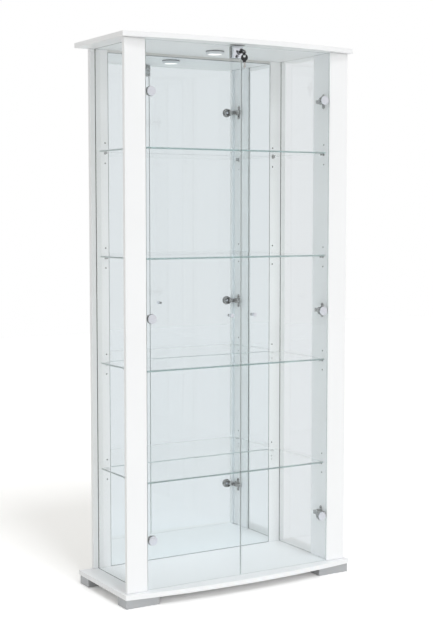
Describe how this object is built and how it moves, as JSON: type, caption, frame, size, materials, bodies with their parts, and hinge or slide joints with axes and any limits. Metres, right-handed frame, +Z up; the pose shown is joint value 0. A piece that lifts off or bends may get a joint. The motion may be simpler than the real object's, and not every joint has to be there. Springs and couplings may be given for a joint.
{
  "type": "display case",
  "caption": "Tall white display cabinet with glass doors on concealed hinges, glass sides, mirror back, glass shelves on pins, a lock with keys, and a light under the bow-fronted top.",
  "frame": {"origin": "middle of the bounding box at the floor, under the feet", "axes": "+Z up, -Y towards the doors, +X to the right of someone who faces the doors"},
  "size_m": [0.835, 0.37, 1.73],
  "materials": {
    "white_laminate": "white melamine laminate on particle board",
    "grey_foot": "silver-grey satin paint",
    "clear_glass": "clear float glass with ground edges",
    "mirror_glass": "silvered float glass",
    "painted_hardboard": "smooth painted hardboard",
    "chrome": "bright chrome plate",
    "nickel_plate": "nickel-plated pressed steel",
    "black_plastic": "black moulded plastic bow on a plated blade",
    "frosted_lens": "frosted clear plastic"
  },
  "bodies": {
    "cabinet": {"base_panel": "white_laminate", "top_panel": "white_laminate", "foot_front_left": "grey_foot", "foot_rear_left": "grey_foot", "front_post_left": "white_laminate", "hinge_stile_left": "white_laminate", "rear_post_left": "white_laminate", "side_glass_left": "clear_glass", "hinge_plate_left_lower": "nickel_plate", "hinge_plate_left_middle": "nickel_plate", "hinge_plate_left_upper": "nickel_plate", "hinge_arm_left_lower": "nickel_plate", "hinge_arm_left_middle": "nickel_plate", "hinge_arm_left_upper": "nickel_plate", "foot_front_right": "grey_foot", "foot_rear_right": "grey_foot", "front_post_right": "white_laminate", "hinge_stile_right": "white_laminate", "rear_post_right": "white_laminate", "side_glass_right": "clear_glass", "hinge_plate_right_lower": "nickel_plate", "hinge_plate_right_middle": "nickel_plate", "hinge_plate_right_upper": "nickel_plate", "hinge_arm_right_lower": "nickel_plate", "hinge_arm_right_middle": "nickel_plate", "hinge_arm_right_upper": "nickel_plate", "mirror_sheet": "mirror_glass", "back_board": "painted_hardboard", "light_housing": "chrome", "light_lens": "frosted_lens", "lock_strike_plate": "nickel_plate"},
    "door_left": {"door_glass_left": "clear_glass", "knob_left": "chrome", "knob_screw_left": "nickel_plate", "hinge_cup_left_lower": "nickel_plate", "hinge_cup_left_middle": "nickel_plate", "hinge_cup_left_upper": "nickel_plate", "hinge_cap_left_lower": "chrome", "hinge_cap_left_middle": "chrome", "hinge_cap_left_upper": "chrome", "lock_case": "chrome", "lock_clamp": "nickel_plate"},
    "door_right": {"door_glass_right": "clear_glass", "knob_right": "chrome", "knob_screw_right": "nickel_plate", "hinge_cup_right_lower": "nickel_plate", "hinge_cup_right_middle": "nickel_plate", "hinge_cup_right_upper": "nickel_plate", "hinge_cap_right_lower": "chrome", "hinge_cap_right_middle": "chrome", "hinge_cap_right_upper": "chrome"},
    "plug": {"lock_plug": "nickel_plate"},
    "bolt": {"lock_bolt": "nickel_plate"},
    "inserted_key": {"key": "black_plastic"},
    "hanging_keys": {"key_ring": "nickel_plate", "spare_key": "black_plastic"},
    "shelf_1": {"glass_shelf_1": "clear_glass"},
    "shelf_2": {"glass_shelf_2": "clear_glass"},
    "shelf_3": {"glass_shelf_3": "clear_glass"},
    "shelf_4": {"glass_shelf_4": "clear_glass"}
  },
  "joints": [
    {"name": "door_left_swing", "type": "hinge", "parent": "cabinet", "child": "door_left", "pos_m": [-0.3345, -0.1375, 0.8795], "axis": [0, 0, -1], "range_deg": [0, 95]},
    {"name": "door_right_swing", "type": "hinge", "parent": "cabinet", "child": "door_right", "pos_m": [0.3345, -0.1375, 0.8795], "axis": [0, 0, 1], "range_deg": [0, 95]},
    {"name": "key_turn", "type": "hinge", "parent": "door_left", "child": "plug", "pos_m": [-0.012, -0.1498, 1.693], "axis": [0, -1, 0], "range_deg": [0, 90]},
    {"name": "bolt_throw", "type": "slide", "parent": "door_left", "child": "bolt", "axis": [0, 0, 1], "range_m": [0, 0.008]},
    {"name": "key_draw", "type": "slide", "parent": "plug", "child": "inserted_key", "axis": [0, -1, 0], "range_m": [0, 0.022]},
    {"name": "ring_hang", "type": "hinge", "parent": "inserted_key", "child": "hanging_keys", "pos_m": [-0.012, -0.1498, 1.693], "axis": [0, -1, 0], "range_deg": [-90, 0]},
    {"name": "shelf_1_lift", "type": "slide", "parent": "cabinet", "child": "shelf_1", "axis": [0, 0, 1], "range_m": [0, 0.032]},
    {"name": "shelf_2_lift", "type": "slide", "parent": "cabinet", "child": "shelf_2", "axis": [0, 0, 1], "range_m": [0, 0.032]},
    {"name": "shelf_3_lift", "type": "slide", "parent": "cabinet", "child": "shelf_3", "axis": [0, 0, 1], "range_m": [0, 0.032]},
    {"name": "shelf_4_lift", "type": "slide", "parent": "cabinet", "child": "shelf_4", "axis": [0, 0, 1], "range_m": [0, 0.032]}
  ],
  "couplings": [
    {"joint": "bolt_throw", "follows": "key_turn", "m_per_rad": 0.005093},
    {"joint": "ring_hang", "follows": "key_turn", "ratio": -1}
  ]
}
